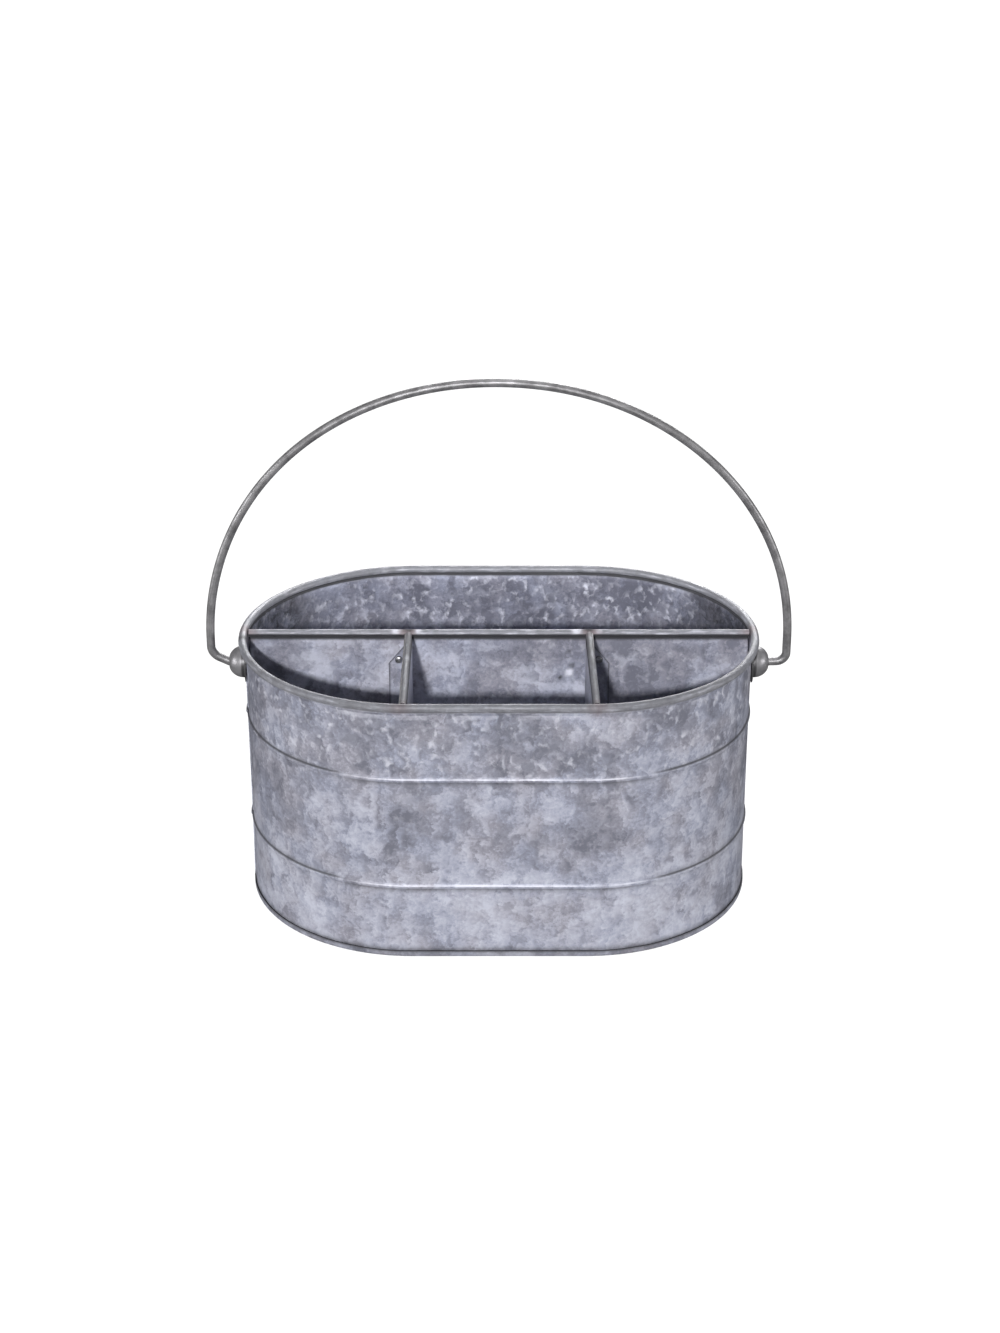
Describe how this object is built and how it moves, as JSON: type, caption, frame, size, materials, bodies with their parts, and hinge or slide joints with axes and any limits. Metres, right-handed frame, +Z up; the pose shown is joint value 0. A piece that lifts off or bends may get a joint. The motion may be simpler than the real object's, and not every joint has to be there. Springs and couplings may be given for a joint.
{
  "type": "utensil caddy",
  "caption": "Oval galvanized sheet metal caddy with a swinging wire bail, a long rear compartment and smaller front compartments.",
  "frame": {"origin": "centre of the tub's footprint, on the surface that it stands on", "axes": "+Z up, +X along the tub's length towards its right end, -Y towards the front with the small compartments"},
  "size_m": [0.3434, 0.205, 0.3167],
  "materials": {
    "galvanized_sheet": "hot dip galvanized, mottled spangle, satin",
    "drawn_wire": "galvanized drawn wire, satin",
    "pressed_ear": "pressed and galvanized, satin",
    "rivet": "plain domed head"
  },
  "bodies": {
    "tub": {"tub_wall": "galvanized_sheet", "tub_floor": "galvanized_sheet", "long_divider": "galvanized_sheet", "cross_divider_left": "galvanized_sheet", "cross_divider_right": "galvanized_sheet", "rim_wire": "drawn_wire", "long_divider_wire": "drawn_wire", "cross_divider_wire_left": "drawn_wire", "cross_divider_wire_right": "drawn_wire", "ear_plate_left": "pressed_ear", "ear_plate_right": "pressed_ear", "ear_dome_left": "pressed_ear", "ear_dome_right": "pressed_ear", "rivet_left_upper": "rivet", "rivet_left_lower": "rivet", "rivet_right_upper": "rivet", "rivet_right_lower": "rivet"},
    "bail": {"bail": "drawn_wire"}
  },
  "joints": [
    {"name": "bail_swing", "type": "hinge", "parent": "tub", "child": "bail", "pos_m": [0, 0, 0.142], "axis": [1, 0, 0], "range_deg": [-141, 141]}
  ]
}
